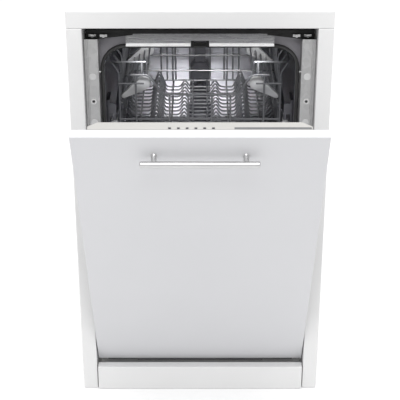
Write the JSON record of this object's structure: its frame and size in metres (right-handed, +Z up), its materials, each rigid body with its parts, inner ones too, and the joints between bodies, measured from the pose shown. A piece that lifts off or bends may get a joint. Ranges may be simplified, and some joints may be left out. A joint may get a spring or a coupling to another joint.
{
  "type": "built-in dishwasher",
  "caption": "Slim fully integrated dishwasher in a white housing: hinged decor door with bar handle and top-edge controls, steel tub, wire baskets, spray arms and pumps.",
  "frame": {"origin": "on the floor, under the middle of the housing front edge", "axes": "+X right as seen from the front, +Y to the back, +Z up"},
  "size_m": [0.51, 0.9089, 0.864],
  "materials": {
    "white_board": "satin melamine board",
    "decor_board": "satin foil-faced board",
    "stainless": "brushed stainless",
    "galvanised": "galvanised sheet",
    "dark_sheet": "dark coated sheet",
    "black_plastic": "moulded black plastic",
    "dark_plastic": "moulded dark grey plastic",
    "grey_plastic": "moulded grey plastic",
    "light_plastic": "light grey plastic",
    "cream_plastic": "cream plastic",
    "white_plastic": "white plastic",
    "gasket_rubber": "soft rubber",
    "bright_trim": "bright satin strip",
    "handle_steel": "satin chrome",
    "screw_steel": "zinc plated",
    "coated_wire": "grey nylon coating",
    "window": "dark smoked window"
  },
  "bodies": {
    "machine": {"housing_left_panel": "white_board", "housing_right_panel": "white_board", "housing_worktop": "white_board", "plinth_panel": "white_board", "tub_wrap": "stainless", "tub_floor": "stainless", "tub_front_frame": "dark_sheet", "mouth_gasket": "gasket_rubber", "front_uprights": "galvanised", "top_front_rail": "black_plastic", "top_trim_strip": "bright_trim", "worktop_brackets": "black_plastic", "fixing_screws": "screw_steel", "screw_caps": "white_plastic", "base_tray": "dark_plastic", "rear_cover": "galvanised", "sump": "dark_plastic", "circulation_pump": "grey_plastic", "drain_pump": "grey_plastic", "water_softener": "white_plastic", "inlet_valve": "white_plastic", "feed_duct": "dark_plastic", "roller_brackets": "stainless", "door_springs": "screw_steel", "hinge_brackets": "galvanised"},
    "door": {"decor_panel": "decor_board", "door_handle": "handle_steel", "door_outer_panel": "galvanised", "door_inner_liner": "stainless", "control_console": "cream_plastic", "display_window": "window", "hinge_arms": "galvanised", "dispenser_body": "light_plastic"},
    "upper_basket": {"upper_basket_sides": "coated_wire", "upper_basket_floor": "coated_wire", "upper_feed_pipe": "dark_plastic"},
    "lower_basket_frame": {"lower_basket": "coated_wire", "cutlery_basket": "grey_plastic"},
    "foot_front_left": {"foot_front_left": "grey_plastic"},
    "foot_front_right": {"foot_front_right": "grey_plastic"},
    "foot_rear": {"foot_rear": "grey_plastic"},
    "filter_cylinder": {"filter_cylinder": "grey_plastic"},
    "salt_cap": {"salt_cap": "grey_plastic"},
    "lower_spray_arm": {"lower_spray_arm": "grey_plastic"},
    "rail_rollers": {"rail_rollers": "white_plastic"},
    "upper_spray_arm": {"upper_spray_arm": "grey_plastic"},
    "cup_shelf_left": {"cup_shelf_left": "light_plastic"},
    "cup_shelf_right": {"cup_shelf_right": "light_plastic"},
    "lower_wheels_front": {"lower_wheels_front": "grey_plastic"},
    "lower_wheels_rear": {"lower_wheels_rear": "grey_plastic"},
    "folding_tines": {"folding_tines": "coated_wire"},
    "latch_hook": {"latch_hook": "screw_steel"},
    "dispenser_lid": {"dispenser_lid": "light_plastic"},
    "rinse_aid_cap": {"rinse_aid_cap": "dark_plastic"},
    "button_1": {"button_1": "dark_plastic"},
    "button_2": {"button_2": "dark_plastic"},
    "button_3": {"button_3": "dark_plastic"},
    "button_4": {"button_4": "dark_plastic"},
    "button_5": {"button_5": "dark_plastic"},
    "button_6": {"button_6": "dark_plastic"}
  },
  "joints": [
    {"name": "door_hinge", "type": "hinge", "parent": "machine", "child": "door", "pos_m": [0, 0.035, 0.12], "axis": [1, 0, 0], "range_deg": [-26, 64]},
    {"name": "lower_basket_slide", "type": "slide", "parent": "machine", "child": "lower_basket_frame", "axis": [0, -1, 0], "range_m": [-0.0677, 0.1665]},
    {"name": "upper_basket_slide", "type": "slide", "parent": "machine", "child": "upper_basket", "axis": [0, -1, 0], "range_m": [0, 0.2]},
    {"name": "foot_front_left_turn", "type": "hinge", "parent": "machine", "child": "foot_front_left", "pos_m": [-0.185, 0.13, 0.03], "axis": [0, 0, 1], "continuous": true},
    {"name": "foot_front_right_turn", "type": "hinge", "parent": "machine", "child": "foot_front_right", "pos_m": [0.185, 0.13, 0.03], "axis": [0, 0, 1], "continuous": true},
    {"name": "foot_rear_turn", "type": "hinge", "parent": "machine", "child": "foot_rear", "pos_m": [0, 0.5, 0.03], "axis": [0, 0, 1], "continuous": true},
    {"name": "filter_turn", "type": "hinge", "parent": "machine", "child": "filter_cylinder", "pos_m": [0, 0.262, 0.12], "axis": [0, 0, 1], "range_deg": [0, 45]},
    {"name": "salt_cap_turn", "type": "hinge", "parent": "machine", "child": "salt_cap", "pos_m": [-0.117, 0.18, 0.155], "axis": [0, 0, 1], "range_deg": [0, 180]},
    {"name": "lower_arm_spin", "type": "hinge", "parent": "machine", "child": "lower_spray_arm", "pos_m": [0, 0.345, 0.175], "axis": [0, 0, 1], "continuous": true},
    {"name": "rail_roller_spin", "type": "hinge", "parent": "machine", "child": "rail_rollers", "pos_m": [0, 0.1, 0.5956], "axis": [1, 0, 0], "continuous": true},
    {"name": "upper_arm_spin", "type": "hinge", "parent": "upper_basket", "child": "upper_spray_arm", "pos_m": [0, 0.335, 0.499], "axis": [0, 0, 1], "continuous": true},
    {"name": "cup_shelf_left_fold", "type": "hinge", "parent": "upper_basket", "child": "cup_shelf_left", "pos_m": [-0.156, 0.21, 0.65], "axis": [0, -1, 0], "range_deg": [0, 44]},
    {"name": "cup_shelf_right_fold", "type": "hinge", "parent": "upper_basket", "child": "cup_shelf_right", "pos_m": [0.156, 0.21, 0.65], "axis": [0, 1, 0], "range_deg": [0, 44]},
    {"name": "front_wheels_roll", "type": "hinge", "parent": "lower_basket_frame", "child": "lower_wheels_front", "pos_m": [0, 0.1624, 0.168], "axis": [1, 0, 0], "continuous": true},
    {"name": "rear_wheels_roll", "type": "hinge", "parent": "lower_basket_frame", "child": "lower_wheels_rear", "pos_m": [0, 0.3724, 0.168], "axis": [1, 0, 0], "continuous": true},
    {"name": "tines_fold", "type": "hinge", "parent": "lower_basket_frame", "child": "folding_tines", "pos_m": [-0.06, 0.25, 0.209], "axis": [0, -1, 0], "range_deg": [0, 80]},
    {"name": "latch_lift", "type": "hinge", "parent": "door", "child": "latch_hook", "pos_m": [0, -0.24637, 0.70373], "axis": [-1, 0, 0], "range_deg": [0, 6], "stiffness_Nm_per_rad": 0.5},
    {"name": "dispenser_lid_fold", "type": "hinge", "parent": "door", "child": "dispenser_lid", "pos_m": [0, -0.08069, 0.41627], "axis": [-1, 0, 0], "range_deg": [0, 85]},
    {"name": "rinse_cap_turn", "type": "hinge", "parent": "door", "child": "rinse_aid_cap", "pos_m": [0.04, -0.10032, 0.45676], "axis": [0, 0.8988, 0.4384], "range_deg": [0, 90]},
    {"name": "button_1_press", "type": "slide", "parent": "door", "child": "button_1", "axis": [0, 0.4384, -0.8988], "range_m": [0, 0.0015], "stiffness_N_per_m": 400},
    {"name": "button_2_press", "type": "slide", "parent": "door", "child": "button_2", "axis": [0, 0.4384, -0.8988], "range_m": [0, 0.0015], "stiffness_N_per_m": 400},
    {"name": "button_3_press", "type": "slide", "parent": "door", "child": "button_3", "axis": [0, 0.4384, -0.8988], "range_m": [0, 0.0015], "stiffness_N_per_m": 400},
    {"name": "button_4_press", "type": "slide", "parent": "door", "child": "button_4", "axis": [0, 0.4384, -0.8988], "range_m": [0, 0.0015], "stiffness_N_per_m": 400},
    {"name": "button_5_press", "type": "slide", "parent": "door", "child": "button_5", "axis": [0, 0.4384, -0.8988], "range_m": [0, 0.0015], "stiffness_N_per_m": 400},
    {"name": "button_6_press", "type": "slide", "parent": "door", "child": "button_6", "axis": [0, 0.4384, -0.8988], "range_m": [0, 0.0015], "stiffness_N_per_m": 400}
  ],
  "couplings": [
    {"joint": "lower_basket_slide", "follows": "door_hinge", "m_per_rad": 0.14897}
  ]
}
